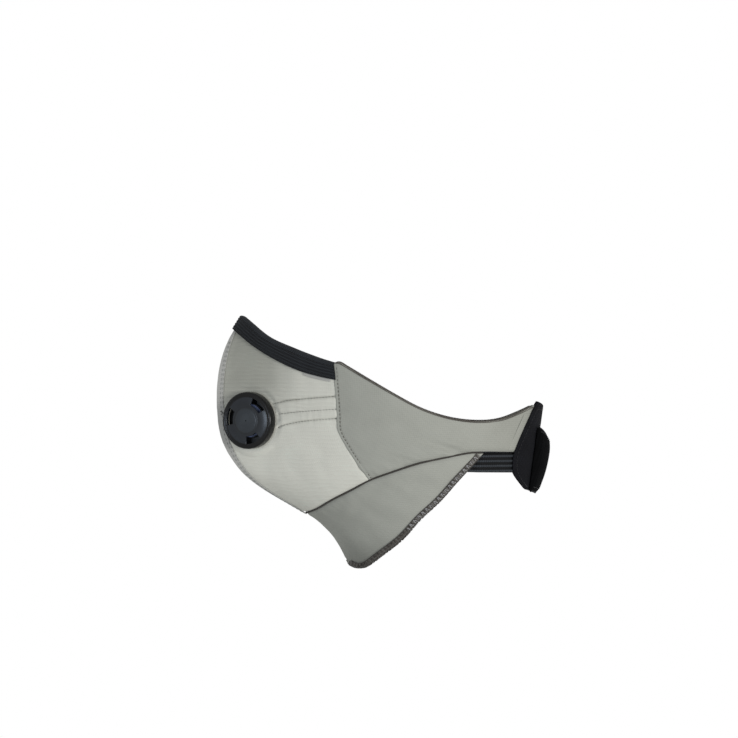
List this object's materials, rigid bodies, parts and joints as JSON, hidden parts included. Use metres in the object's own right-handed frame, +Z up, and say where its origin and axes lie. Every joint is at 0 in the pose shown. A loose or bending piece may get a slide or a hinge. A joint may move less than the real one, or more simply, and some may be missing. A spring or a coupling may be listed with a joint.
{
  "type": "reusable dust mask",
  "caption": "Fabric half-face dust mask shaped as worn, with exhaust valves, chin panel, rear elastic and a hook-and-loop closure at the nape.",
  "frame": {"origin": "on the mid plane of the wearer's head, under the ears and level with the lips", "axes": "+Z up the head, -Y the way the wearer looks, +X to the wearer's left"},
  "size_m": [0.1332, 0.218, 0.1635],
  "materials": {
    "cup_cloth": "light sage-grey ribbed polyester",
    "side_cloth": "warm green-grey knitted polyester",
    "seam_tape": "pale grey woven tape",
    "ribbed_elastic": "black ribbed elastic",
    "nose_metal": "bare annealed strip",
    "filter_felt": "white non-woven felt",
    "black_patch": "black bonded cloth",
    "loop_pile": "black loop pile",
    "hook_tape": "black moulded hook tape",
    "cap_plastic": "black satin moulding",
    "seat_plastic": "black moulding",
    "flap_silicone": "translucent grey silicone"
  },
  "bodies": {
    "mask_front": {"cup_panel_left": "cup_cloth", "cup_panel_right": "cup_cloth", "front_seam_tape": "seam_tape", "nose_binding": "ribbed_elastic", "nose_clip": "nose_metal", "filter": "filter_felt", "side_panel_left": "side_cloth", "side_panel_right": "side_cloth", "chin_panel": "side_cloth", "elastic_end_left": "ribbed_elastic", "elastic_end_right": "ribbed_elastic", "valve_seat_left": "seat_plastic", "valve_seat_right": "seat_plastic"},
    "left_wing": {"rear_wing_left": "side_cloth", "rear_elastic_left": "ribbed_elastic", "end_patch_left": "black_patch"},
    "right_wing": {"rear_wing_right": "side_cloth", "rear_elastic_right": "ribbed_elastic", "loop_patch_right": "loop_pile"},
    "closure_tab": {"hook_tab": "black_patch", "hook_strip": "hook_tape"},
    "cap_left": {"valve_cap_left": "cap_plastic"},
    "cap_right": {"valve_cap_right": "cap_plastic"},
    "flap_left": {"valve_flap_left": "flap_silicone"},
    "flap_right": {"valve_flap_right": "flap_silicone"}
  },
  "joints": [
    {"name": "left_wing_swing", "type": "hinge", "parent": "mask_front", "child": "left_wing", "pos_m": [0.05212, 0.0563, -0.0042], "axis": [-0.0745, 0, -0.9972], "range_deg": [0, 75]},
    {"name": "right_wing_swing", "type": "hinge", "parent": "mask_front", "child": "right_wing", "pos_m": [-0.05212, 0.0563, -0.0042], "axis": [-0.0745, 0, 0.9972], "range_deg": [0, 75]},
    {"name": "tab_peel", "type": "hinge", "parent": "left_wing", "child": "closure_tab", "pos_m": [0.01829, 0.08783, -0.01211], "axis": [-0.0017, -0.1342, -0.991], "range_deg": [0, 75]},
    {"name": "cap_left_twist", "type": "hinge", "parent": "mask_front", "child": "cap_left", "pos_m": [0.01157, -0.0958, 0.013], "axis": [0.8535, -0.52, -0.0329], "range_deg": [0, 45]},
    {"name": "cap_right_twist", "type": "hinge", "parent": "mask_front", "child": "cap_right", "pos_m": [-0.01157, -0.0958, 0.013], "axis": [-0.8535, -0.52, -0.0329], "range_deg": [0, 45]},
    {"name": "flap_left_lift", "type": "slide", "parent": "mask_front", "child": "flap_left", "axis": [0.8535, -0.52, -0.0329], "range_m": [0, 0.0012], "stiffness_N_per_m": 20, "springref_m": -0.0005},
    {"name": "flap_right_lift", "type": "slide", "parent": "mask_front", "child": "flap_right", "axis": [-0.8535, -0.52, -0.0329], "range_m": [0, 0.0012], "stiffness_N_per_m": 20, "springref_m": -0.0005}
  ],
  "couplings": [
    {"joint": "right_wing_swing", "follows": "left_wing_swing", "ratio": 1}
  ]
}
